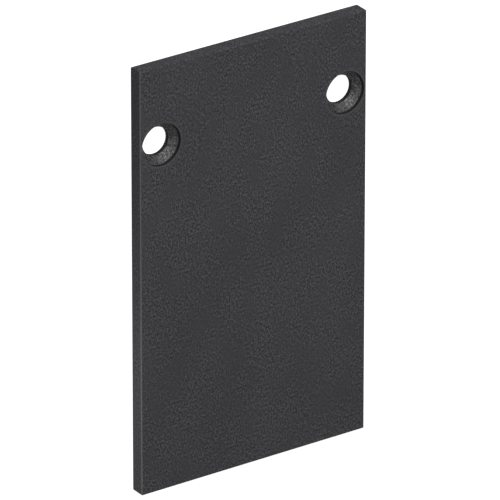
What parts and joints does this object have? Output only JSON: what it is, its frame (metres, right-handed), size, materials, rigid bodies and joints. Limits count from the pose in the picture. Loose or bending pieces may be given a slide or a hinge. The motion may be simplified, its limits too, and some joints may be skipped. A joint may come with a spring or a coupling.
{
  "type": "track end cap",
  "caption": "Flat rectangular plate that closes the end of a surface track, with a countersunk screw hole near each upper corner.",
  "frame": {"origin": "middle of the flat back face, which the plate lies on", "axes": "+X across the plate, +Y along it towards the screw holes, +Z out of the countersunk front face"},
  "size_m": [0.032, 0.055, 0.002],
  "materials": {
    "powder_coat": "fine-textured matte black powder coat on metal"
  },
  "bodies": {
    "root": {"end_plate": "powder_coat"}
  },
  "joints": []
}
